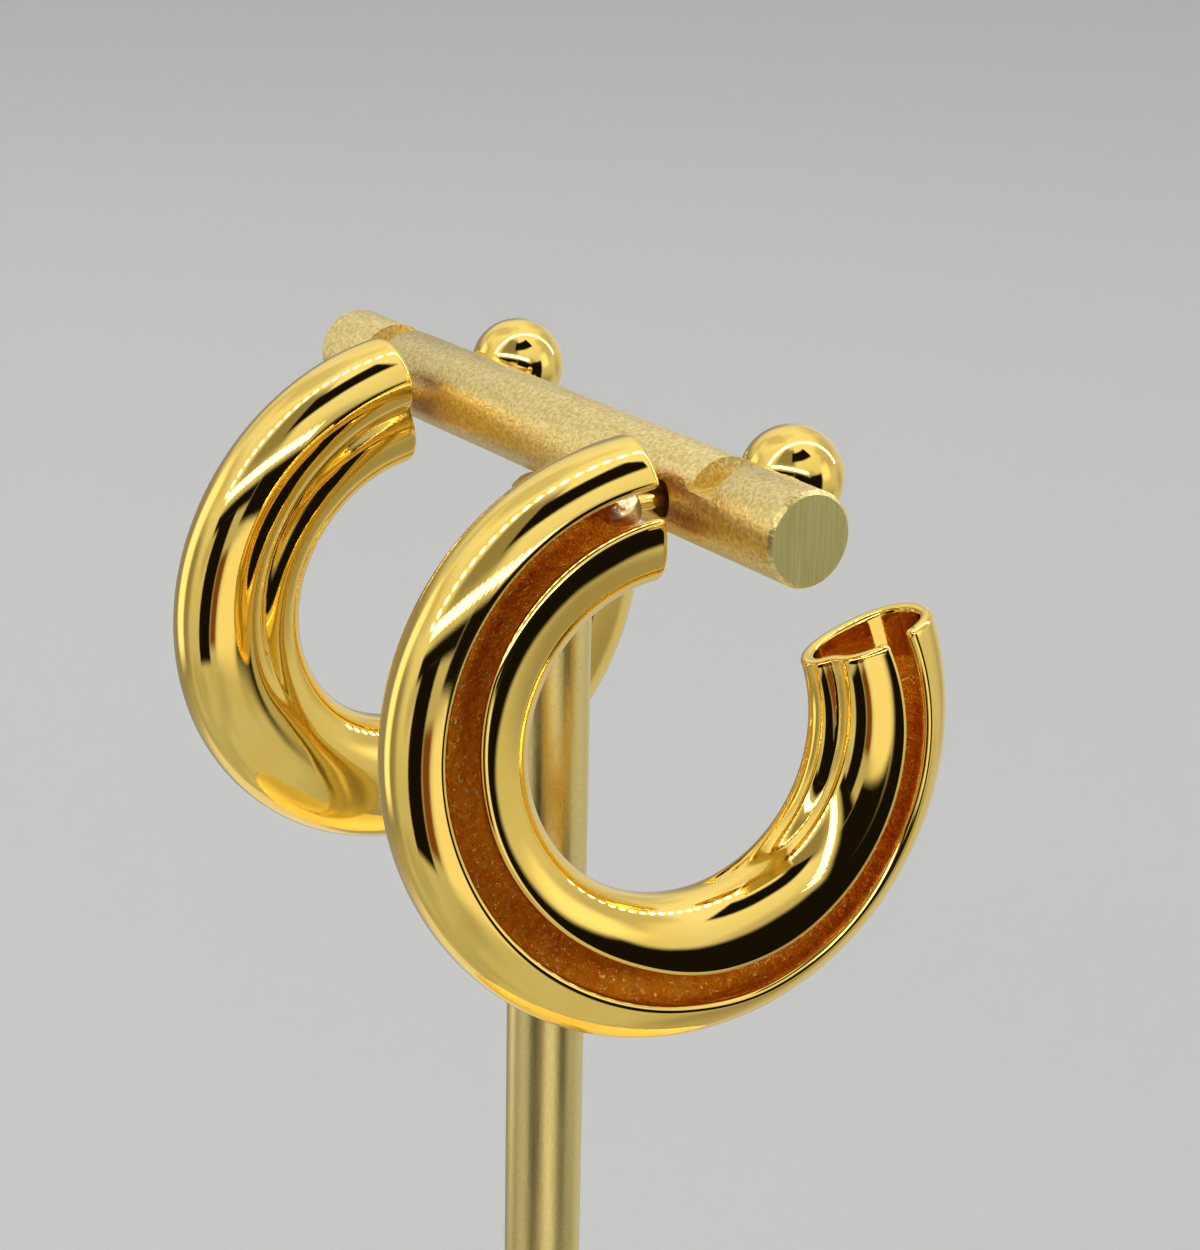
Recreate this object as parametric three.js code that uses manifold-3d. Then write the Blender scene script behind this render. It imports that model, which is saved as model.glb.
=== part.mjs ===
// A pair of chunky open hoop earrings on a small display stand, in millimetres, +Z up.
// The crossbar lies along X. Each hoop starts at the bar's front (-Y), runs down, and ends behind it.
import * as THREE from 'three';
import { mergeVertices } from 'three/addons/utils/BufferGeometryUtils.js';
import Module from 'manifold-3d';

const wasm = await Module();
wasm.setup();

// Air left between two pieces that touch on the real object.
const clearance = 0.3;

// The hoop's tube: a wide oval section on a round centreline.
const hoopRadius = 14.95;
const tubeHalfHeight = 4.65;
const tubeHalfWidth = 3.45;
const tubeSquareness = 2.25;
const wall = 0.9;
const lipRounding = 0.3;
const startAngle = 3.7;
const endAngle = 286;

// How a hoop hangs: its centre from the post's crossing with the bar's axis.
const hoopBelowBar = 15.2;
const hoopForward = 3;
// The degrees by which each loose post lets its hoop swing about Z, lean about Y and tip about X.
const rightTurn = { swing: -6.9, lean: -6.8, tip: 3.1 };
const leftTurn = { swing: 3.5, lean: 3.4, tip: 5.7 };

// The ear post, its solder foot, and the ball that closes it.
const postRadius = 0.5;
const footHalfWidth = 0.95;
const footLength = 2.6;
const footSetback = 0.2;
const ballRadius = 3.35;
const ballBoreDepth = 4;

// The stand.
const barRadius = 3;
const barHalfLength = 28.8;
const barHeight = 100;
const barChamfer = 0.25;
const postHoleRadius = 1.2;
// How far each post stands from the upright along the bar.
const rightPostPlace = 17.2;
const leftPostPlace = -15.6;
const notchWidth = 2.4;
const notchDepth = 1.8;
const notchPlace = 21.3;
const uprightRadius = 2.8;
const uprightChamfer = 0.5;
const studRadius = 1.3;
const studLength = 2.2;
const baseRadius = 33;
const baseThickness = 5;
const baseChamfer = 0.8;
const socketDepth = 3;

// Mesh fineness.
const hoopStations = 34;
const sectionPoints = 28;
const roundSides = 36;

// The fold between the tube's two lobes: [share of the arc, angle in the section].
// The angle is 0 at the hoop's outside, 90 on the slotted back and 270 on the plain front.
const foldPlace = [[0, 270], [0.14, 263], [0.3, 252], [0.46, 236],
  [0.55, 210], [0.64, 187], [0.74, 169], [1, 163]];
// Its depth as a share of the tube's half width, and its breadth in degrees.
const foldDepth = [[0, 0.34], [0.2, 0.35], [0.3, 0.22], [0.38, 0.05], [0.46, 0],
  [0.62, 0], [0.7, 0.06], [0.78, 0.22], [1, 0.3]];
const foldBreadth = [[0, 14], [0.3, 16], [0.5, 20], [0.7, 16], [1, 12]];
// The fold falls steeply on its outer lobe's side and this many times more gently on the other.
const foldEase = 2.8;
// The slot's two edges in the section.
const slotOuterEdge = [[0, 63], [0.15, 61], [0.27, 62], [0.38, 66], [0.5, 66],
  [0.6, 59], [0.68, 50], [0.86, 54], [1, 66]];
const slotInnerEdge = [[0, 93], [0.2, 93], [0.32, 100], [0.45, 104], [0.54, 101],
  [0.64, 87], [0.74, 81], [0.9, 83], [1, 93]];

const gold = new THREE.MeshStandardMaterial({ color: 0xe8b73a, metalness: 1, roughness: 0.08 });
const satinGold = new THREE.MeshStandardMaterial({ color: 0xc9a860, metalness: 1, roughness: 0.35 });

const degrees = THREE.MathUtils.degToRad;

// Reads a hand-made list of [share, value] pairs as a smooth curve.
function smoothReader(pairs) {
  const shares = pairs.map((pair) => pair[0]);
  const values = pairs.map((pair) => pair[1]);
  const curve = new THREE.CubicInterpolant(shares, values, 1);
  return (share) => curve.evaluate(share)[0];
}

const readFoldPlace = smoothReader(foldPlace);
const readFoldDepth = smoothReader(foldDepth);
const readFoldBreadth = smoothReader(foldBreadth);
const readSlotOuter = smoothReader(slotOuterEdge);
const readSlotInner = smoothReader(slotInnerEdge);

// The tube's outer skin at one angle of its section: x is radial, y is towards the slotted back.
function skinPoint(share, angle) {
  const across = Math.abs(Math.cos(angle)) / tubeHalfHeight;
  const along = Math.abs(Math.sin(angle)) / tubeHalfWidth;
  const oval = (across ** tubeSquareness + along ** tubeSquareness) ** (-1 / tubeSquareness);
  let offset = THREE.MathUtils.radToDeg(angle) - readFoldPlace(share);
  offset = THREE.MathUtils.euclideanModulo(offset + 180, 360) - 180;
  const reach = Math.abs(offset) / readFoldBreadth(share) / (offset < 0 ? foldEase : 1);
  const fold = tubeHalfWidth * readFoldDepth(share) * Math.exp(-(reach ** 1.4));
  const radius = oval - fold;
  return new THREE.Vector2(radius * Math.cos(angle), radius * Math.sin(angle));
}

// The same skin moved inwards along its normal.
function insetPoint(share, angle, inset) {
  const step = 0.02;
  const tangent = skinPoint(share, angle + step).sub(skinPoint(share, angle - step)).normalize();
  const inward = new THREE.Vector2(-tangent.y, tangent.x);
  return skinPoint(share, angle).addScaledVector(inward, inset);
}

// One closed ring of the slotted tube: its outer skin from lip to lip, then back inside.
function hoopSection(share, lip) {
  const first = degrees(readSlotOuter(share));
  const sweep = degrees(360) - (degrees(readSlotInner(share)) - first);
  const ring = [];
  for (let i = 0; i < sectionPoints; i++) {
    ring.push(insetPoint(share, first - (sweep * i) / (sectionPoints - 1), lip));
  }
  for (let i = sectionPoints - 1; i >= 0; i--) {
    ring.push(insetPoint(share, first - (sweep * i) / (sectionPoints - 1), wall - lip));
  }
  return ring;
}

// Closes a row of rings into one solid; a ring's points are in step with the next ring's.
function loftRings(rings) {
  const count = rings[0].length;
  const positions = rings.flat().flatMap((point) => point.toArray());
  const faces = [];
  for (let r = 0; r + 1 < rings.length; r++) {
    for (let i = 0; i < count; i++) {
      const a = r * count + i;
      const b = r * count + ((i + 1) % count);
      faces.push(a, b, b + count, a, b + count, a + count);
    }
  }
  const half = count / 2;
  const last = (rings.length - 1) * count;
  for (let i = 0; i + 1 < half; i++) {
    const mate = count - 1 - i;
    faces.push(i, mate, mate - 1, i, mate - 1, i + 1);
    faces.push(last + i, last + mate - 1, last + mate, last + i, last + i + 1, last + mate - 1);
  }
  const geometry = new THREE.BufferGeometry();
  geometry.setAttribute('position', new THREE.Float32BufferAttribute(positions, 3));
  geometry.setIndex(faces);
  return geometry;
}

// The tube of one hoop about its own centre. Side is 1 where the slot faces +X, -1 where it faces -X.
function hoopTube(side) {
  const arc = endAngle - startAngle;
  const lipShare = lipRounding / (degrees(arc) * hoopRadius);
  const shares = [0, lipShare];
  for (let k = 1; k < hoopStations; k++) {
    shares.push(k / hoopStations);
  }
  shares.push(1 - lipShare, 1);
  const rings = shares.map((share) => {
    const lip = share === 0 || share === 1 ? lipRounding : 0;
    const turn = degrees(startAngle + arc * share);
    return hoopSection(share, lip).map((point) => {
      const reach = hoopRadius + point.x;
      return new THREE.Vector3(side * point.y, -Math.sin(turn) * reach, Math.cos(turn) * reach);
    });
  });
  if (side < 0) {
    rings.forEach((ring) => ring.reverse());
  }
  return loftRings(rings);
}

// A closed geometry as a manifold solid.
function solidOf(geometry) {
  const bare = geometry.clone();
  bare.deleteAttribute('normal');
  bare.deleteAttribute('uv');
  const merged = mergeVertices(bare, 1e-5);
  const vertProperties = new Float32Array(merged.attributes.position.array);
  const triVerts = new Uint32Array(merged.index.array);
  return new wasm.Manifold(new wasm.Mesh({ numProp: 3, vertProperties, triVerts }));
}

function geometryOf(solid) {
  const mesh = solid.getMesh();
  const geometry = new THREE.BufferGeometry();
  geometry.setAttribute('position', new THREE.BufferAttribute(mesh.vertProperties, 3));
  geometry.setIndex(new THREE.BufferAttribute(mesh.triVerts, 1));
  geometry.computeVertexNormals();
  return geometry;
}

// A round rod along Y from one place to another.
function rodAlongY(radius, from, to, sides) {
  const rod = new THREE.CylinderGeometry(radius, radius, to - from, sides);
  rod.translate(0, (from + to) / 2, 0);
  return rod;
}

// A turned piece from a profile of [radius, height] points that starts and ends on the axis.
function turned(profile, sides) {
  const points = profile.map((pair) => new THREE.Vector2(pair[0], pair[1]));
  const lathe = new THREE.LatheGeometry(points, sides);
  lathe.rotateX(Math.PI / 2);
  return lathe;
}

const ballFrontY = barRadius + clearance;
const ballCentreY = ballFrontY + ballRadius;
const postEndY = ballFrontY + ballBoreDepth - clearance;

// The ball that closes an ear post, with a blind bore for it.
function ballGeometry() {
  const ball = new THREE.SphereGeometry(ballRadius, 24, 14);
  ball.translate(0, ballCentreY, 0);
  const bore = rodAlongY(postRadius + clearance, ballFrontY - clearance, ballFrontY + ballBoreDepth, 16);
  return geometryOf(solidOf(ball).subtract(solidOf(bore)));
}

const hoopFrontY = -hoopForward - hoopRadius * Math.sin(degrees(startAngle));
const footBackY = hoopFrontY - footSetback;

// The lump of solder inside the channel, from the post to the middle of the fold's wall.
function solderFoot(side) {
  const wallPoint = insetPoint(0, degrees(readFoldPlace(0)), wall / 2);
  const wallX = side * wallPoint.y;
  const wallZ = (hoopRadius + wallPoint.x) * Math.cos(degrees(startAngle)) - hoopBelowBar;
  const foot = rodAlongY(1, footBackY - footLength, footBackY, 14);
  foot.scale(footHalfWidth, 1, Math.hypot(wallX, wallZ) / 2 + wall / 3);
  foot.rotateY(Math.atan2(wallX, wallZ));
  foot.translate(wallX / 2, 0, wallZ / 2);
  return foot;
}

// One hoop with its ear post, about the point where the post crosses the bar's axis.
function hoopGeometry(side) {
  const tube = hoopTube(side);
  tube.translate(0, -hoopForward, -hoopBelowBar);
  const post = rodAlongY(postRadius, footBackY - footLength / 2, postEndY, 12);
  return geometryOf(solidOf(tube).add(solidOf(solderFoot(side))).add(solidOf(post)));
}

// One earring's pieces at their place on the bar, turned as the loose post lets them turn.
function hangEarring(word, side, postPlace, turn) {
  const hoop = new THREE.Mesh(hoopGeometry(side), gold);
  hoop.name = `hoop_${word}`;
  const ball = new THREE.Mesh(ballGeometry(), gold);
  ball.name = `ball_back_${word}`;
  const hanger = new THREE.Group();
  hanger.position.set(postPlace, 0, barHeight);
  hanger.rotation.set(degrees(turn.tip), degrees(turn.lean), degrees(turn.swing), 'ZYX');
  hanger.add(hoop, ball);
  return hanger;
}

// The round crossbar with its post holes, the two notches in its top and the stud's hole below.
function crossbar() {
  const rod = turned([
    [0, -barHalfLength], [barRadius - barChamfer, -barHalfLength],
    [barRadius, -barHalfLength + barChamfer], [barRadius, barHalfLength - barChamfer],
    [barRadius - barChamfer, barHalfLength], [0, barHalfLength],
  ], roundSides);
  rod.rotateY(Math.PI / 2);
  let solid = solidOf(rod);
  for (const [side, postPlace] of [[1, rightPostPlace], [-1, leftPostPlace]]) {
    const hole = rodAlongY(postHoleRadius, -2 * barRadius, 2 * barRadius, 24);
    hole.translate(postPlace, 0, 0);
    const notch = new THREE.BoxGeometry(notchWidth, 4 * barRadius, 2 * notchDepth);
    notch.translate(side * notchPlace, 0, barRadius);
    solid = solid.subtract(solidOf(hole)).subtract(solidOf(notch));
  }
  const studHole = rodAlongY(studRadius + clearance, -2 * barRadius, studLength - barRadius, 20);
  studHole.rotateX(Math.PI / 2);
  const mesh = new THREE.Mesh(geometryOf(solid.subtract(solidOf(studHole))), satinGold);
  mesh.name = 'crossbar';
  mesh.position.z = barHeight;
  return mesh;
}

// The upright rod, from its socket in the base to the stud that enters the bar.
function upright() {
  const foot = baseThickness - socketDepth + clearance;
  const shoulder = barHeight - barRadius - clearance;
  const mesh = new THREE.Mesh(turned([
    [0, foot], [uprightRadius, foot], [uprightRadius, shoulder - uprightChamfer],
    [uprightRadius - uprightChamfer, shoulder], [studRadius, shoulder],
    [studRadius, shoulder + studLength], [0, shoulder + studLength],
  ], roundSides), satinGold);
  mesh.name = 'upright';
  return mesh;
}

// The plain round base with the socket that takes the upright.
function base() {
  const socketRadius = uprightRadius + clearance;
  const socketFloor = baseThickness - socketDepth;
  const mesh = new THREE.Mesh(turned([
    [0, 0], [baseRadius - baseChamfer, 0], [baseRadius, baseChamfer],
    [baseRadius, baseThickness - baseChamfer], [baseRadius - baseChamfer, baseThickness],
    [socketRadius, baseThickness], [socketRadius, socketFloor], [0, socketFloor],
  ], 2 * roundSides), satinGold);
  mesh.name = 'base';
  return mesh;
}

const stand = new THREE.Group();
stand.add(base(), upright(), crossbar());
stand.add(hangEarring('right', 1, rightPostPlace, rightTurn));
stand.add(hangEarring('left', -1, leftPostPlace, leftTurn));

export default stand;
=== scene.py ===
import math

import bpy
from mathutils import Matrix, Vector


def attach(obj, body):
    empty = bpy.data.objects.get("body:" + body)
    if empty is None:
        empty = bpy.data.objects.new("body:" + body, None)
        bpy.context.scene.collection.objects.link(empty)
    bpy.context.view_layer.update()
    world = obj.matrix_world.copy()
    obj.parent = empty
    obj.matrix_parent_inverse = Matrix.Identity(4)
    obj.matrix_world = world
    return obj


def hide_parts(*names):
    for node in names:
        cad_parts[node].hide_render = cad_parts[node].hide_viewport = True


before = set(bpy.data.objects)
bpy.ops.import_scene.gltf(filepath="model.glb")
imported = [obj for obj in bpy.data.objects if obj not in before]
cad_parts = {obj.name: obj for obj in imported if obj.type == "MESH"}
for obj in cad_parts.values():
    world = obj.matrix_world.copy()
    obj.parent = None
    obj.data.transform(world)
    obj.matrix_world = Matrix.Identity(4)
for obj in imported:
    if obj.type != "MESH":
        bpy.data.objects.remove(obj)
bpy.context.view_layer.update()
scene = bpy.context.scene
MM = 0.001

# Sizes shared with the solids, in millimetres and degrees.
HOOP_RADIUS = 14.95
TUBE_HALF_HEIGHT = 4.65
TUBE_HALF_WIDTH = 3.45
TUBE_SQUARENESS = 2.25
WALL = 0.9
START_ANGLE = 3.7
END_ANGLE = 286
HOOP_BELOW_BAR = 15.2
HOOP_FORWARD = 3
RIGHT_TURN = (-6.9, -6.8, 3.1)
LEFT_TURN = (3.5, 3.4, 5.7)
CLEARANCE = 0.3
POST_RADIUS = 0.5
FOOT_RADIUS = 1.0
FOOT_LENGTH = 2.6
SOLDER_LIP_ANGLE = -35
# Along the post from the bar's axis: the solder foot's end, and the post's start inside the foot.
FOOT_BACK = -HOOP_FORWARD - HOOP_RADIUS * math.sin(math.radians(START_ANGLE)) - 0.2
POST_START = FOOT_BACK - 1
BALL_RADIUS = 3.35
BORE_DEPTH = 4
BAR_RADIUS = 3
BAR_HALF_LENGTH = 28.8
BAR_HEIGHT = 100
BAR_CHAMFER = 0.25
POST_HOLE_RADIUS = 1.2
RIGHT_POST_PLACE = 17.2
LEFT_POST_PLACE = -15.6
NOTCH_WIDTH = 2.4
NOTCH_DEPTH = 1.8
NOTCH_PLACE = 21.3
UPRIGHT_RADIUS = 2.8
UPRIGHT_CHAMFER = 0.5
STUD_RADIUS = 1.3
STUD_LENGTH = 2.2
BASE_RADIUS = 33
BASE_THICKNESS = 5
BASE_CHAMFER = 0.8
SOCKET_DEPTH = 3

# The photograph's camera, solved from the bar's, upright's and hoops' outlines.
CAMERA_AZIMUTH = 57.2
CAMERA_ELEVATION = 18.69
CAMERA_ROLL = 1.2
CAMERA_DISTANCE = 173.95
CAMERA_TARGET = (6.25, 0, BAR_HEIGHT - 11.91)
CAMERA_FOCUS_PX = 2600
PHOTO_HEIGHT_PX = 1250
SENSOR_MM = 36

# The floor's side in metres, its tone, and the plain tone that the camera sees beyond it.
FLOOR_SIZE = 30
FLOOR_GREY = (0.29, 0.29, 0.29, 1)
BACKDROP_GREY = (0.62, 0.62, 0.62, 1)

# The mirrored room's tones: level with the object, at the ceiling, its clutter and its dark cards.
ROOM_GREY = (0.6, 0.6, 0.58, 1)
CEILING_GREY = (1.05, 1.05, 1.03, 1)
CLUTTER_GREY = (0.22, 0.2, 0.18, 1)
CARD_BLACK = (0.008, 0.007, 0.006)
# The mirrored lamps' strength, and their width and pitch along a strip in degrees.
LAMP_STRENGTH = 12
LAMP_WIDTH = 2.7
LAMP_PITCH = 4.2
# Each lamp is longer across its strip than along it, by one over this.
LAMP_SQUEEZE = 0.42

# Rounding that only the fine meshes have, and the steps that it takes.
LIP_RADIUS = 0.38
LIP_STEPS = 4
RIM_RADIUS = 0.36
RIM_STEPS = 5
WORN_EDGE = 0.08
# The share of the arc, at the open lower end, over which the inner skin keeps the bright gilt instead of
# the painted shade.
UNSHADED_MOUTH_REACH = 0.04

# The fold's place in degrees round the section, as (share of the arc, value) pairs.
FOLD_PLACE = [(0, 270), (0.14, 263), (0.3, 252), (0.46, 236)]
FOLD_PLACE += [(0.55, 210), (0.64, 187), (0.74, 169), (1, 163)]
# Its depth as a share of the tube's half width, and its breadth in degrees.
FOLD_DEPTH = [(0, 0.34), (0.2, 0.35), (0.3, 0.22), (0.38, 0.05), (0.46, 0)]
FOLD_DEPTH += [(0.62, 0), (0.7, 0.06), (0.78, 0.22), (1, 0.3)]
FOLD_BREADTH = [(0, 14), (0.3, 16), (0.5, 20), (0.7, 16), (1, 12)]
# The fold falls steeply on its outer lobe's side and this many times more gently on the other.
FOLD_EASE = 2.8
# The power by which the fold's walls fall with the distance from its middle.
FOLD_SHARPNESS = 1.4
# The slot's two edges, in degrees round the section.
SLOT_OUTER = [(0, 63), (0.15, 61), (0.27, 62), (0.38, 66), (0.5, 66)]
SLOT_OUTER += [(0.6, 59), (0.68, 50), (0.86, 54), (1, 66)]
SLOT_INNER = [(0, 93), (0.2, 93), (0.32, 100), (0.45, 104), (0.54, 101)]
SLOT_INNER += [(0.64, 87), (0.74, 81), (0.9, 83), (1, 93)]


def smooth_reader(pairs):
    """Reads (share, value) pairs as a Hermite curve with straight ends."""
    xs = [pair[0] for pair in pairs]
    ys = [pair[1] for pair in pairs]
    last = len(xs) - 1
    slopes = [0.0] * (last + 1)
    for i in range(1, last):
        slopes[i] = (ys[i + 1] - ys[i - 1]) / (xs[i + 1] - xs[i - 1])
    slopes[0] = 1.5 * (ys[1] - ys[0]) / (xs[1] - xs[0]) - 0.5 * slopes[1]
    slopes[last] = 1.5 * (ys[last] - ys[last - 1]) / (xs[last] - xs[last - 1]) - 0.5 * slopes[last - 1]

    def read(share):
        i = 0
        while i < last - 1 and share > xs[i + 1]:
            i += 1
        step = xs[i + 1] - xs[i]
        t = (share - xs[i]) / step
        rise = ys[i] * (2 * t**3 - 3 * t**2 + 1) + ys[i + 1] * (3 * t**2 - 2 * t**3)
        return rise + step * (slopes[i] * (t**3 - 2 * t**2 + t) + slopes[i + 1] * (t**3 - t**2))

    return read


read_fold_place = smooth_reader(FOLD_PLACE)
read_fold_depth = smooth_reader(FOLD_DEPTH)
read_fold_breadth = smooth_reader(FOLD_BREADTH)
read_slot_outer = smooth_reader(SLOT_OUTER)
read_slot_inner = smooth_reader(SLOT_INNER)


def skin_point(share, angle):
    """The tube's outer skin at one angle of its section, in millimetres."""
    across = abs(math.cos(angle)) / TUBE_HALF_HEIGHT
    along = abs(math.sin(angle)) / TUBE_HALF_WIDTH
    oval = (across**TUBE_SQUARENESS + along**TUBE_SQUARENESS) ** (-1 / TUBE_SQUARENESS)
    offset = (math.degrees(angle) - read_fold_place(share) + 180) % 360 - 180
    reach = abs(offset) / read_fold_breadth(share) / (FOLD_EASE if offset < 0 else 1)
    radius = oval - TUBE_HALF_WIDTH * read_fold_depth(share) * math.exp(-(reach**FOLD_SHARPNESS))
    return Vector((radius * math.cos(angle), radius * math.sin(angle)))


def moved_point(share, angle, inset, ahead):
    """The skin's point moved inwards by inset, and along the skin by ahead."""
    step = 0.02
    tangent = (skin_point(share, angle + step) - skin_point(share, angle - step)).normalized()
    inward = Vector((-tangent.y, tangent.x))
    return skin_point(share, angle) + inward * inset + tangent * ahead


def lip_steps(erosion):
    """Half of the slot's rounded lip: (inset, ahead) pairs from the skin to the wall's middle."""
    steps = []
    for k in range(LIP_STEPS + 1):
        turn = math.radians(90) * k / LIP_STEPS
        inset = LIP_RADIUS * (1 - math.cos(turn))
        ahead = LIP_RADIUS * math.sin(turn)
        steps.append((max(inset, erosion), ahead - erosion))
    steps.append((WALL / 2, LIP_RADIUS - erosion))
    return steps


def hoop_ring(share, erosion, points=150):
    """One closed ring of the slotted tube; the second half mirrors the first across the wall."""
    lip_turn = LIP_RADIUS / TUBE_HALF_WIDTH
    first = math.radians(read_slot_outer(share)) - lip_turn
    sweep = math.radians(360) - (math.radians(read_slot_inner(share)) - first) - lip_turn
    places = [(first, inset, ahead) for inset, ahead in reversed(lip_steps(erosion))]
    for i in range(1, points):
        places.append((first - sweep * i / points, erosion, 0))
    places += [(first - sweep, inset, -ahead) for inset, ahead in lip_steps(erosion)]
    outer = [moved_point(share, *place) for place in places]
    inner = [moved_point(share, angle, WALL - inset, ahead) for angle, inset, ahead in places]
    return outer + inner[::-1]


def ring_stations(count=260):
    """(share, erosion) pairs along the arc; erosion rounds the tube's open ends."""
    arc_length = math.radians(END_ANGLE - START_ANGLE) * HOOP_RADIUS
    ends = []
    for k in range(RIM_STEPS + 1):
        turn = math.radians(90) * k / RIM_STEPS
        ends.append((RIM_RADIUS * (1 - math.cos(turn)) / arc_length, RIM_RADIUS * (1 - math.sin(turn))))
    rim = ends[-1][0]
    middle = [(k / count, 0) for k in range(1, count) if rim < k / count < 1 - rim]
    return ends + middle + [(1 - share, erosion) for share, erosion in reversed(ends)]


def hanging(post_place, turn):
    """Where an earring hangs: turned by (swing, lean, tip) about its post's crossing with the bar."""
    swing, lean, tip = (math.radians(angle) for angle in turn)
    place = Matrix.Translation((post_place, 0, BAR_HEIGHT)) @ Matrix.Rotation(swing, 4, "Z")
    return place @ Matrix.Rotation(lean, 4, "Y") @ Matrix.Rotation(tip, 4, "X")


def make_mesh(name, vertices, faces, material_ids=None):
    """A smooth mesh from points in millimetres."""
    mesh = bpy.data.meshes.new(name)
    mesh.from_pydata([v * MM for v in vertices], [], faces)
    if material_ids:
        mesh.polygons.foreach_set("material_index", material_ids)
    mesh.polygons.foreach_set("use_smooth", [True] * len(mesh.polygons))
    mesh.update()
    piece = bpy.data.objects.new(name, mesh)
    scene.collection.objects.link(piece)
    return piece


def hoop(name, side, place):
    """One slotted hoop: gilt outside; inside, a rough surface with painted shade."""
    centre = Vector((0, -HOOP_FORWARD, -HOOP_BELOW_BAR))
    vertices, faces, ids = [], [], []
    stations = ring_stations()
    for share, erosion in stations:
        turn = math.radians(START_ANGLE + (END_ANGLE - START_ANGLE) * share)
        ring = hoop_ring(share, erosion)
        for point in ring:
            reach = HOOP_RADIUS + point.x
            local = Vector((side * point.y, -math.sin(turn) * reach, math.cos(turn) * reach))
            vertices.append(place @ (centre + local))
    count = len(ring)
    half = count // 2
    for r in range(len(stations) - 1):
        for i in range(count):
            a, b = r * count + i, r * count + (i + 1) % count
            faces.append((a, b, b + count, a + count))
            # A ring's second half is the inner skin, which gets the painted shade of the channel's inside
            # except near the open lower end, where it keeps the gilt.
            painted_shade = half <= i < count - 1 and stations[r][0] < 1 - UNSHADED_MOUTH_REACH
            ids.append(1 if painted_shade else 0)
    last = (len(stations) - 1) * count
    for i in range(half - 1):
        mate = count - 1 - i
        faces.append((i, mate, mate - 1, i + 1))
        faces.append((last + i, last + i + 1, last + mate - 1, last + mate))
        ids += [0, 0]
    if side < 0:
        faces = [face[::-1] for face in faces]
    return make_mesh(name, vertices, faces, ids)


def turned(name, profile, place, sides=160):
    """A turned piece from (radius, height) points, its axis along local Z."""
    vertices, faces = [], []
    rings = []
    for radius, height in profile:
        if radius == 0:
            rings.append([len(vertices)])
            vertices.append(place @ Vector((0, 0, height)))
            continue
        rings.append(list(range(len(vertices), len(vertices) + sides)))
        for k in range(sides):
            turn = 2 * math.pi * k / sides
            vertices.append(place @ Vector((radius * math.cos(turn), radius * math.sin(turn), height)))
    for low, high in zip(rings, rings[1:]):
        for k in range(sides):
            a, b = low[k % len(low)], low[(k + 1) % len(low)]
            c, d = high[(k + 1) % len(high)], high[k % len(high)]
            if len(low) > 1 and len(high) > 1:
                faces.append([a, b, c, d])
            else:
                faces.append([a, b, c] if len(low) > 1 else [a, c, d])
    piece = make_mesh(name, vertices, faces)
    piece.data.set_sharp_from_angle(angle=math.radians(40))
    return piece


def arc_points(centre_radius, centre_height, radius, start, end, steps):
    """Profile points round an arc; 0 degrees points outwards and 90 up."""
    points = []
    for k in range(steps + 1):
        turn = math.radians(start + (end - start) * k / steps)
        points.append((centre_radius + radius * math.cos(turn), centre_height + radius * math.sin(turn)))
    return points


ALONG_X = Matrix.Rotation(math.radians(90), 4, "Y")
ALONG_Y = Matrix.Rotation(math.radians(-90), 4, "X")


def cut(piece, cutter):
    """Takes cutter's shape out of piece and deletes cutter."""
    modifier = piece.modifiers.new("cut", "BOOLEAN")
    modifier.operation = "DIFFERENCE"
    modifier.solver = "EXACT"
    modifier.object = cutter
    bpy.context.view_layer.objects.active = piece
    bpy.ops.object.modifier_apply(modifier=modifier.name)
    bpy.data.objects.remove(cutter)


def block(size, place):
    """A plain block about its own centre, used only to cut."""
    corners = [Vector((x, y, z)) for x in (-0.5, 0.5) for y in (-0.5, 0.5) for z in (-0.5, 0.5)]
    vertices = [place @ Vector((c.x * size[0], c.y * size[1], c.z * size[2])) for c in corners]
    faces = [(0, 1, 3, 2), (4, 6, 7, 5), (0, 4, 5, 1), (2, 3, 7, 6), (0, 2, 6, 4), (1, 5, 7, 3)]
    return make_mesh("cutter", vertices, faces)


def crossbar():
    """The rod with its two post holes and two notches, its edges slightly worn."""
    at_bar = Matrix.Translation((0, 0, BAR_HEIGHT))
    end = BAR_HALF_LENGTH
    profile = [(0, -end), (BAR_RADIUS - BAR_CHAMFER, -end), (BAR_RADIUS, BAR_CHAMFER - end)]
    profile += [(radius, -height) for radius, height in reversed(profile)]
    bar = turned("crossbar_rod", profile, at_bar @ ALONG_X)
    reach = 2 * BAR_RADIUS
    hole = [(0, -reach), (POST_HOLE_RADIUS, -reach), (POST_HOLE_RADIUS, reach), (0, reach)]
    for side, post_place in ((1, RIGHT_POST_PLACE), (-1, LEFT_POST_PLACE)):
        at_post = at_bar @ Matrix.Translation((post_place, 0, 0))
        cut(bar, turned("cutter", hole, at_post @ ALONG_Y, 96))
        at_notch = Matrix.Translation((side * NOTCH_PLACE, 0, BAR_RADIUS))
        cut(bar, block((NOTCH_WIDTH, 4 * BAR_RADIUS, 2 * NOTCH_DEPTH), at_bar @ at_notch))
    bevel = bar.modifiers.new("worn edges", "BEVEL")
    bevel.width = WORN_EDGE * MM
    bevel.segments = 3
    bevel.limit_method = "ANGLE"
    bevel.angle_limit = math.radians(50)
    bpy.context.view_layer.objects.active = bar
    bpy.ops.object.modifier_apply(modifier=bevel.name)
    bar.data.set_sharp_from_angle(angle=math.radians(35))
    return bar


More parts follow.
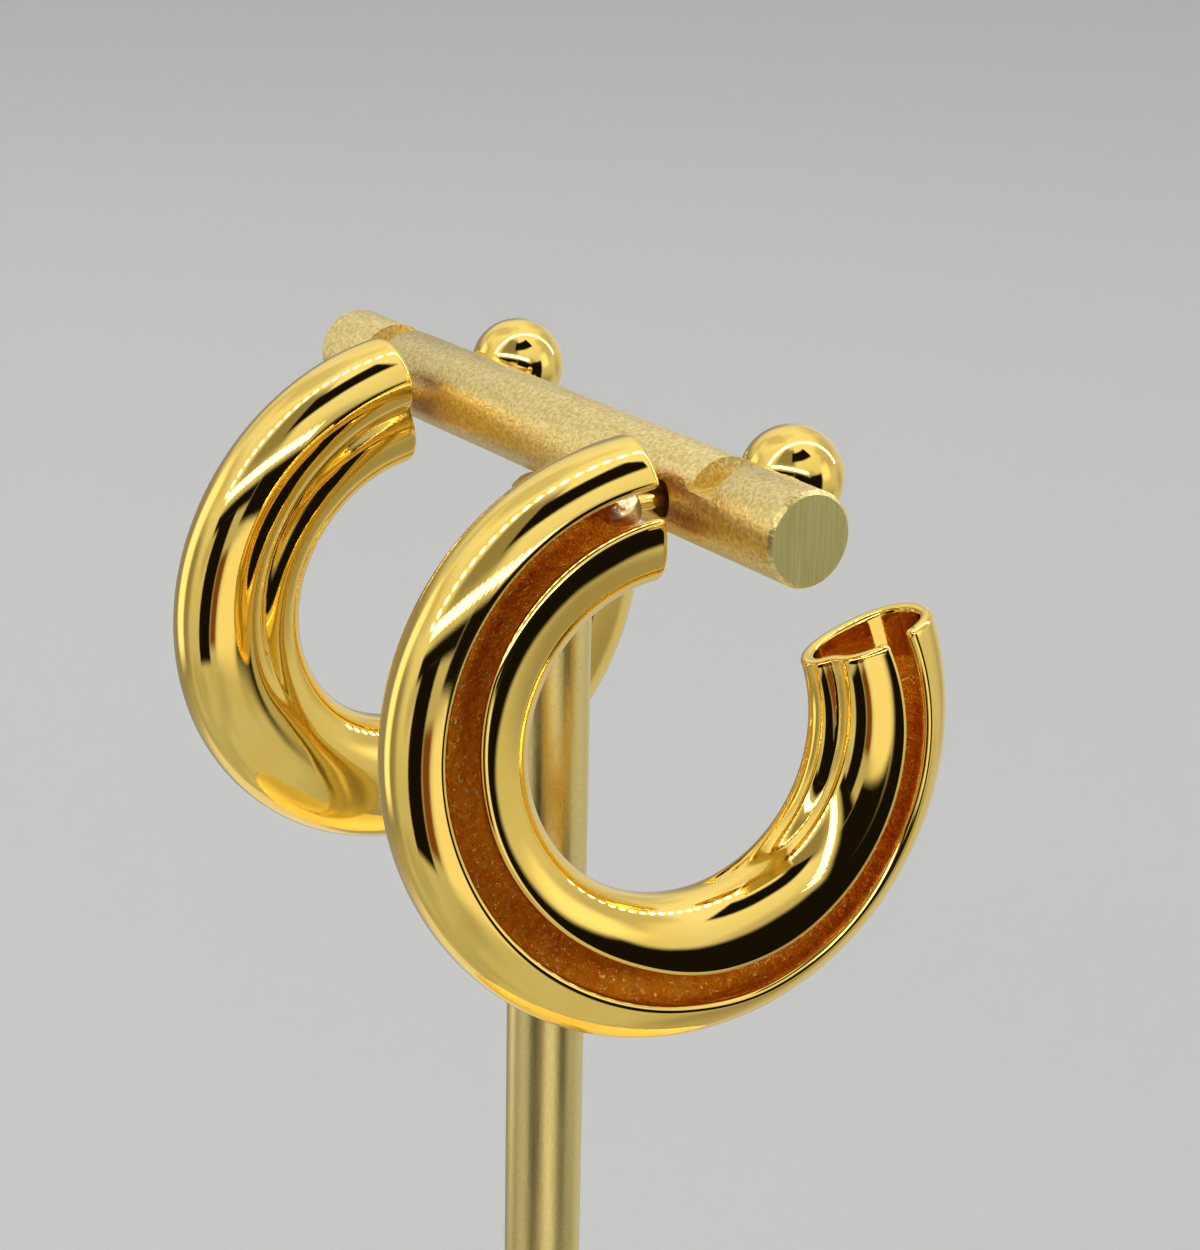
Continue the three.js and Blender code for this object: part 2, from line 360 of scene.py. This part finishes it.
def upright():
    """The rod from its socket up to an eased chamfer, and the stud that enters the crossbar."""
    foot = BASE_THICKNESS - SOCKET_DEPTH + CLEARANCE
    shoulder = BAR_HEIGHT - BAR_RADIUS - CLEARANCE
    chamfer = UPRIGHT_CHAMFER
    profile = [(0, foot), (UPRIGHT_RADIUS, foot), (UPRIGHT_RADIUS, shoulder - chamfer - 0.1)]
    profile.append((UPRIGHT_RADIUS - 0.03, shoulder - chamfer))
    profile.append((UPRIGHT_RADIUS - chamfer + 0.03, shoulder - 0.05))
    profile += [(UPRIGHT_RADIUS - chamfer - 0.05, shoulder), (STUD_RADIUS, shoulder)]
    profile += [(STUD_RADIUS, shoulder + STUD_LENGTH), (0, shoulder + STUD_LENGTH)]
    return turned("upright_rod", profile, Matrix.Identity(4))


def base():
    """The disc with its rim rounded, and the socket for the upright with its mouth eased."""
    socket = UPRIGHT_RADIUS + CLEARANCE
    ease = 0.15
    rim = BASE_RADIUS - BASE_CHAMFER
    top = BASE_THICKNESS - BASE_CHAMFER
    profile = [(0, 0)] + arc_points(rim, BASE_CHAMFER, BASE_CHAMFER, -90, 0, 8)
    profile += arc_points(rim, top, BASE_CHAMFER, 0, 90, 8)
    profile += [(socket + ease, BASE_THICKNESS), (socket, BASE_THICKNESS - ease)]
    profile += [(socket, BASE_THICKNESS - SOCKET_DEPTH), (0, BASE_THICKNESS - SOCKET_DEPTH)]
    return turned("base_disc", profile, Matrix.Identity(4), 256)


def ball_back(name, place):
    """A ball with a blind bore, its bore's mouth towards the bar."""
    bore = POST_RADIUS + CLEARANCE
    front = BAR_RADIUS + CLEARANCE
    ease_width, ease_depth = 0.12, 0.35
    mouth = math.degrees(math.asin((bore + ease_width) / BALL_RADIUS))
    profile = [(0, front + BORE_DEPTH), (bore, front + BORE_DEPTH), (bore, front + ease_depth)]
    profile += arc_points(0, front + BALL_RADIUS, BALL_RADIUS, -90 + mouth, 90, 64)[:-1]
    profile.append((0, front + 2 * BALL_RADIUS))
    return turned(name, profile, place @ ALONG_Y, 128)


def ear_post(name, place):
    """The round post, thinner at a groove near its rounded tip."""
    end = BAR_RADIUS + BORE_DEPTH
    tip = POST_RADIUS * 0.6
    groove = POST_RADIUS * 0.8
    profile = [(0, POST_START), (POST_RADIUS, POST_START), (POST_RADIUS, end - 1.5)]
    profile += [(groove, end - 1.35), (groove, end - 1.1), (POST_RADIUS, end - 0.95)]
    profile += arc_points(POST_RADIUS - tip, end - tip, tip, 0, 90, 6)
    profile.append((0, end))
    return turned(name, profile, place @ ALONG_Y, 48)


def solder_foot(name, side, place):
    """The solder that holds the post to the channel's wall, swollen towards the slot's inner lip."""
    vertices, faces = [], []
    to_wall = math.pi if side > 0 else 0.0
    to_lip = math.radians(SOLDER_LIP_ANGLE) if side > 0 else math.radians(180 - SOLDER_LIP_ANGLE)
    rings, sides = 28, 48
    for r in range(rings + 1):
        share = r / rings
        height = -FOOT_LENGTH * (1 - share)
        swell = FOOT_RADIUS * math.sqrt(max(0.0, 1 - abs(2 * share - 1) ** 3))
        for k in range(sides):
            turn = 2 * math.pi * k / sides
            # A low ripple, then swells towards the wall and the lip.
            lump = 1 + 0.09 * math.sin(3 * turn + 5 * share) + 0.05 * math.sin(7 * turn - 9 * share)
            lump += 0.9 * max(0.0, math.cos(turn - to_wall)) ** 3
            lump += 0.45 * max(0.0, math.cos(turn - to_lip)) ** 3
            radius = max(swell * lump, 0.02)
            point = Vector((radius * math.cos(turn), FOOT_BACK + height, radius * math.sin(turn)))
            vertices.append(place @ point)
    for r in range(rings):
        for k in range(sides):
            a, b = r * sides + k, r * sides + (k + 1) % sides
            faces.append((a, a + sides, b + sides, b))
    faces.append(tuple(range(sides)))
    faces.append(tuple(reversed(range(rings * sides, (rings + 1) * sides))))
    return make_mesh(name, vertices, faces)


class Nodes:
    """A material's or a world's node tree with short calls for adding nodes and links."""

    def __init__(self, name, world=False):
        self.material = (bpy.data.worlds if world else bpy.data.materials).new(name)
        self.material.use_nodes = True
        self.tree = self.material.node_tree
        self.shader = self.tree.nodes["Background" if world else "Principled BSDF"]

    def add(self, kind, **values):
        """Adds a node; each keyword sets its input of that name, or else its property."""
        node = self.tree.nodes.new(kind)
        for key, value in values.items():
            socket = node.inputs.get(key.replace("_", " "))
            if socket is None:
                setattr(node, key, value)
            else:
                self.put(socket, value)
        return node

    def put(self, socket, value):
        if isinstance(value, bpy.types.NodeSocket):
            self.tree.links.new(value, socket)
        else:
            socket.default_value = value

    def set(self, **values):
        for key, value in values.items():
            self.put(self.shader.inputs[key.replace("_", " ")], value)

    def spot(self):
        return self.add("ShaderNodeTexCoord").outputs["Object"]

    def stretched(self, scales):
        """The spot with each axis scaled, so that a noise is drawn out along the axis scaled down."""
        return self.add("ShaderNodeMapping", Vector=self.spot(), Scale=scales).outputs[0]

    def noise(self, scale, detail=4, roughness=0.5, vector=None):
        settings = {"Scale": scale, "Detail": detail, "Roughness": roughness}
        return self.add("ShaderNodeTexNoise", Vector=vector or self.spot(), **settings).outputs["Fac"]

    def blend(self, factor, first, second):
        mix = self.add("ShaderNodeMix", data_type="RGBA")
        self.put(mix.inputs[0], factor)
        self.put(mix.inputs[6], first)
        self.put(mix.inputs[7], second)
        return mix.outputs[2]

    def span(self, value, low, high, new_low=0.0, new_high=1.0, kind="LINEAR"):
        node = self.add("ShaderNodeMapRange", Value=value, interpolation_type=kind)
        limits = {"From Min": low, "From Max": high, "To Min": new_low, "To Max": new_high}
        for key, number in limits.items():
            node.inputs[key].default_value = number
        return node.outputs[0]

    def math(self, operation, first, second=0.0):
        node = self.add("ShaderNodeMath", operation=operation)
        self.put(node.inputs[0], first)
        self.put(node.inputs[1], second)
        return node.outputs[0]

    def bump(self, height, distance, strength=1.0, normal=None):
        node = self.add("ShaderNodeBump", Height=height, Distance=distance, Strength=strength)
        if normal:
            self.put(node.inputs["Normal"], normal)
        return node.outputs["Normal"]


def polished_gold():
    """Bright plate: a mirror with a faint waviness, haze and fine scratches."""
    n = Nodes("polished_gold")
    cloud = n.noise(scale=260, detail=3)
    tone = n.blend(n.span(cloud, 0.35, 0.7), (0.97, 0.68, 0.15, 1), (0.985, 0.72, 0.19, 1))
    haze = n.noise(scale=900, detail=6, roughness=0.7)
    n.set(Base_Color=tone, Metallic=1.0, Roughness=n.span(haze, 0.45, 0.8, 0.02, 0.06))
    wave = n.bump(n.noise(scale=170, detail=2), distance=0.02 * MM)
    n.set(Normal=n.bump(n.noise(scale=9000, detail=3), distance=0.0006 * MM, normal=wave))
    return n.material


def painted_shade_inside():
    """The channel's rough inside: a deep orange-brown that is painted shade and painted repeated
    reflection, with brighter grains that are partly painted glints.
    """
    n = Nodes("painted_shade_inside")
    coarse = n.noise(scale=1500, detail=5, roughness=0.6)
    fine = n.noise(scale=5200, detail=4, roughness=0.6)
    specks_and_glints = n.noise(scale=2600, detail=2, roughness=0.5)
    # The deep orange-brown tones vary at random and are painted shade and painted repeated reflection deep
    # in the channel.
    tone = n.blend(n.span(coarse, 0.35, 0.65), (0.93, 0.3, 0.008, 1), (1.0, 0.48, 0.025, 1))
    # Brighter specks: partly the metal's grain, partly painted glints.
    tone = n.blend(n.span(specks_and_glints, 0.6, 0.66), tone, (1.0, 0.74, 0.2, 1))
    n.set(Base_Color=tone, Metallic=1.0, Roughness=n.span(specks_and_glints, 0.45, 0.65, 0.42, 0.2))
    depth = 0.14 * MM
    n.set(Normal=n.bump(coarse, distance=depth, normal=n.bump(fine, distance=depth)))
    return n.material


def satin_gold(name, scales, tones, polish, grain_depth):
    """Blasted pale gold with faint draw lines along the axis scaled down; polish is its least roughness."""
    n = Nodes(name)
    lines = n.noise(scale=2500, detail=4, roughness=0.6, vector=n.stretched(scales))
    grain = n.noise(scale=3600, detail=3, roughness=0.6)
    tone = n.blend(n.span(grain, 0.35, 0.65), *tones)
    n.set(Base_Color=tone, Metallic=1.0, Roughness=n.span(lines, 0.3, 0.7, polish, polish + 0.1))
    drawn = n.bump(lines, distance=0.006 * MM)
    n.set(Normal=n.bump(grain, distance=grain_depth * MM, normal=drawn))
    return n.material


def brass_end():
    """The sawn end of the bar: greenish brass with fine parallel lines."""
    n = Nodes("brass_end")
    lines = n.noise(scale=5200, detail=3, roughness=0.6, vector=n.stretched((1, 1, 0.04)))
    tone = n.blend(n.span(lines, 0.35, 0.65), (0.74, 0.66, 0.24, 1), (0.86, 0.79, 0.34, 1))
    n.set(Base_Color=tone, Metallic=1.0, Roughness=0.36)
    n.set(Normal=n.bump(lines, distance=0.008 * MM))
    return n.material


def solder():
    """The solder lump: pale gold with a fine, dull grain."""
    n = Nodes("solder")
    grain = n.noise(scale=3000, detail=4)
    tone = n.blend(n.span(grain, 0.35, 0.65), (1.0, 0.74, 0.4, 1), (1.0, 0.88, 0.6, 1))
    n.set(Base_Color=tone, Metallic=1.0, Roughness=0.38)
    n.set(Normal=n.bump(grain, distance=0.05 * MM))
    return n.material


def pale_floor():
    n = Nodes("pale_floor")
    n.set(Base_Color=FLOOR_GREY, Roughness=0.75)
    return n.material


def finish_piece(piece, materials, nodes=()):
    for material in materials:
        piece.data.materials.append(material)
    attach(piece, "root")
    if nodes:
        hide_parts(*nodes)


def paint_ends(bar, end_material_id):
    """Gives the bar's two end discs their own material."""
    for polygon in bar.data.polygons:
        if abs(polygon.normal.x) > 0.98 and abs(abs(polygon.center.x) - BAR_HALF_LENGTH * MM) < 0.02 * MM:
            polygon.material_index = end_material_id


def build_stand():
    """The crossbar, upright and base, each in its own satin."""
    bar = crossbar()
    coarse_tones = ((0.68, 0.5, 0.14, 1), (0.97, 0.8, 0.38, 1))
    even_tones = ((0.8, 0.64, 0.24, 1), (0.86, 0.71, 0.3, 1))
    blasted = satin_gold("satin_bar", (0.03, 1, 1), coarse_tones, polish=0.27, grain_depth=0.06)
    finish_piece(bar, [blasted, brass_end()], ["crossbar"])
    paint_ends(bar, 1)
    drawn = satin_gold("satin_upright", (1, 1, 0.03), even_tones, polish=0.26, grain_depth=0.015)
    finish_piece(upright(), [drawn], ["upright"])
    plain = satin_gold("satin_base", (1, 1, 1), even_tones, polish=0.4, grain_depth=0.02)
    finish_piece(base(), [plain], ["base"])


def build_earring(word, side, post_place, turn):
    gilt, inside, lump = polished_gold(), painted_shade_inside(), solder()
    place = hanging(post_place, turn)
    finish_piece(hoop(f"hoop_shell_{word}", side, place), [gilt, inside], [f"hoop_{word}"])
    finish_piece(ear_post(f"ear_post_{word}", place), [gilt])
    finish_piece(solder_foot(f"solder_foot_{word}", side, place), [lump])
    finish_piece(ball_back(f"ball_{word}", place), [gilt], [f"ball_back_{word}"])


def towards(azimuth, elevation):
    """The unit vector of a direction in degrees; azimuth turns from -Y to +X."""
    a, e = math.radians(azimuth), math.radians(elevation)
    return Vector((math.sin(a) * math.cos(e), -math.cos(a) * math.cos(e), math.sin(e)))


def camera():
    """The photograph's viewpoint: its direction, distance, tilt and lens."""
    data = bpy.data.cameras.new("camera")
    data.lens = SENSOR_MM * CAMERA_FOCUS_PX / PHOTO_HEIGHT_PX
    data.clip_start, data.clip_end = 0.01, 100
    eye = bpy.data.objects.new("camera", data)
    scene.collection.objects.link(eye)
    back = towards(CAMERA_AZIMUTH, CAMERA_ELEVATION)
    target = Vector(CAMERA_TARGET) * MM
    eye.location = target + back * CAMERA_DISTANCE * MM
    upright_view = back.to_track_quat("Z", "Y").to_matrix().to_4x4()
    roll = Matrix.Rotation(math.radians(CAMERA_ROLL), 4, "Z")
    eye.matrix_world = Matrix.Translation(eye.location) @ upright_view @ roll
    scene.camera = eye


class Surroundings(Nodes):
    """What the gold mirrors: a pale room, cards and rows of lamps, placed by azimuth and elevation."""

    def __init__(self):
        super().__init__("studio", world=True)
        self.way = self.add("ShaderNodeTexCoord").outputs["Generated"]
        east, north, up = self.add("ShaderNodeSeparateXYZ", Vector=self.way).outputs
        self.azimuth = self.math("DEGREES", self.math("ARCTAN2", east, self.math("MULTIPLY", north, -1.0)))
        self.elevation = self.math("DEGREES", self.math("ARCSINE", up))
        self.colour = None

    def edge(self, value, low, high):
        """0 at low and 1 at high, with soft ends."""
        return self.span(value, low, high, kind="SMOOTHSTEP")

    def window(self, value, low, high, soft):
        """1 between low and high, falling to 0 over soft degrees."""
        rise = self.edge(value, low - soft / 2, low + soft / 2)
        fall = self.edge(value, high + soft / 2, high - soft / 2)
        return self.math("MULTIPLY", rise, fall)

    def patch(self, colour, azimuths, elevations, soft, slope=0.0):
        """A card or light of one colour; slope is how far it climbs per degree of azimuth."""
        climb = self.math("MULTIPLY", self.math("SUBTRACT", self.azimuth, azimuths[0]), slope)
        height = self.math("SUBTRACT", self.elevation, climb)
        beside = self.window(self.azimuth, *azimuths, soft)
        mask = self.math("MULTIPLY", beside, self.window(height, *elevations, soft))
        self.colour = self.blend(mask, self.colour, (*colour, 1))

    def strip(self, middle, top):
        """Degrees above and along a straight strip of the room, a great circle highest at middle, top."""
        a, e = math.radians(middle), math.radians(top)
        flat, beside = Vector((math.sin(a), -math.cos(a), 0)), Vector((math.cos(a), math.sin(a), 0))
        forward = flat * math.cos(e) + Vector((0, 0, math.sin(e)))
        pole = Vector((0, 0, math.cos(e))) - flat * math.sin(e)
        parts = []
        for axis in (pole, beside, forward):
            product = self.add("ShaderNodeVectorMath", operation="DOT_PRODUCT")
            self.put(product.inputs[0], self.way)
            self.put(product.inputs[1], axis)
            parts.append(product.outputs["Value"])
        above = self.math("DEGREES", self.math("ARCSINE", parts[0]))
        along = self.math("DEGREES", self.math("ARCTAN2", parts[1], parts[2]))
        return above, along

    def band(self, colour, strip, heights, reach, soft=4):
        """A long card that keeps beside a strip, between two heights above it."""
        above, along = strip
        mask = self.math("MULTIPLY", self.window(above, *heights, soft), self.window(along, *reach, soft))
        self.colour = self.blend(mask, self.colour, (*colour, 1))

    def lamps(self, strip, reach):
        """Small lights along a strip, each longer across it than along it."""
        above, along = strip
        turn = self.math("FRACT", self.math("DIVIDE", along, LAMP_PITCH))
        lengthwise = self.math("MULTIPLY", self.math("SUBTRACT", turn, 0.5), LAMP_PITCH)
        across = self.math("MULTIPLY", above, LAMP_SQUEEZE)
        far = self.math("POWER", lengthwise, 2.0)
        far = self.math("SQRT", self.math("ADD", far, self.math("POWER", across, 2.0)))
        dot = self.edge(far, LAMP_WIDTH * 0.6, LAMP_WIDTH * 0.3)
        shown = self.math("MULTIPLY", dot, self.window(along, *reach, soft=2))
        glow = self.math("MULTIPLY", shown, LAMP_STRENGTH)
        lit = self.add("ShaderNodeVectorMath", operation="ADD")
        self.put(lit.inputs[0], self.colour)
        self.put(lit.inputs[1], self.add("ShaderNodeCombineXYZ", X=glow, Y=glow, Z=glow).outputs[0])
        self.colour = lit.outputs[0]


def surroundings():
    """The mirrored room, which the camera itself sees as one plain tone."""
    s = Surroundings()
    s.colour = s.blend(s.span(s.elevation, -20, 60), ROOM_GREY, CEILING_GREY)
    clutter = s.noise(scale=1.7, detail=1, vector=s.way)
    s.colour = s.blend(s.span(clutter, 0.45, 0.62, 0.0, 0.4), s.colour, CLUTTER_GREY)
    overhead, front = s.strip(middle=-97, top=90), s.strip(middle=35, top=33)
    # Walls and furniture, with broad soft edges.
    s.patch((0.9, 0.88, 0.84), azimuths=(-30, -8), elevations=(30, 80), soft=14)
    s.patch((0.3, 0.28, 0.24), azimuths=(8, 62), elevations=(36, 76), soft=16)
    s.patch((0.3, 0.29, 0.27), azimuths=(-125, -22), elevations=(-36, 14), soft=20)
    s.patch((0.85, 0.82, 0.76), azimuths=(-120, -50), elevations=(-80, -44), soft=14)
    s.patch((0.36, 0.34, 0.3), azimuths=(124, 165), elevations=(-62, -20), soft=18)
    # Bright openings.
    s.patch((1.0, 0.96, 0.87), azimuths=(58, 92), elevations=(-30, 2), soft=10)
    s.patch((1.25, 1.2, 1.1), azimuths=(126, 146), elevations=(0, 26), soft=12)
    s.patch((1.3, 1.27, 1.2), azimuths=(-62, -42), elevations=(-25, 25), soft=10)
    # Dark cards and one brown one, with harder edges.
    s.patch(CARD_BLACK, azimuths=(52, 120), elevations=(46, 67), soft=5, slope=0.06)
    s.band(CARD_BLACK, front, heights=(-15, -7), reach=(-30, 24))
    s.band(CARD_BLACK, front, heights=(-22, -6), reach=(24, 66))
    s.patch(CARD_BLACK, azimuths=(14, 42), elevations=(-31, 20), soft=4)
    s.patch((0.2, 0.07, 0.03), azimuths=(43, 55), elevations=(-26, 2), soft=5)
    s.patch(CARD_BLACK, azimuths=(95, 124), elevations=(-28, 14), soft=6)
    s.lamps(overhead, reach=(-80, 62))
    s.lamps(front, reach=(-30, 52))
    s.put(s.shader.inputs["Color"], s.colour)
    seen = s.add("ShaderNodeLightPath").outputs["Is Camera Ray"]
    plain = s.add("ShaderNodeBackground", Color=BACKDROP_GREY)
    mix = s.add("ShaderNodeMixShader")
    s.put(mix.inputs[0], seen)
    s.put(mix.inputs[1], s.shader.outputs[0])
    s.put(mix.inputs[2], plain.outputs[0])
    s.put(s.tree.nodes["World Output"].inputs["Surface"], mix.outputs[0])
    scene.world = s.material


def key_light(direction, distance, size, power):
    """A soft light that looks at the crossbar from (azimuth, elevation), in metres and watts."""
    data = bpy.data.lights.new("key", "AREA")
    data.shape = "RECTANGLE"
    data.size, data.size_y = size
    data.energy = power
    lamp = bpy.data.objects.new("key", data)
    scene.collection.objects.link(lamp)
    back = towards(*direction)
    lamp.location = Vector((0, 0, BAR_HEIGHT * MM)) + back * distance
    lamp.rotation_euler = back.to_track_quat("Z", "Y").to_euler()
    lamp.visible_glossy = False


def studio():
    """The pale floor, the mirrored room and the key light; the gold mirrors only the room."""
    bpy.ops.mesh.primitive_plane_add(size=FLOOR_SIZE)
    floor = bpy.context.object
    floor.name = "floor"
    floor.data.materials.append(pale_floor())
    floor.visible_glossy = False
    surroundings()
    key_light(direction=(-20, 70), distance=1.2, size=(0.6, 0.6), power=14)


scene.view_settings.view_transform = "Standard"
build_stand()
build_earring("right", 1, RIGHT_POST_PLACE, RIGHT_TURN)
build_earring("left", -1, LEFT_POST_PLACE, LEFT_TURN)
studio()
camera()
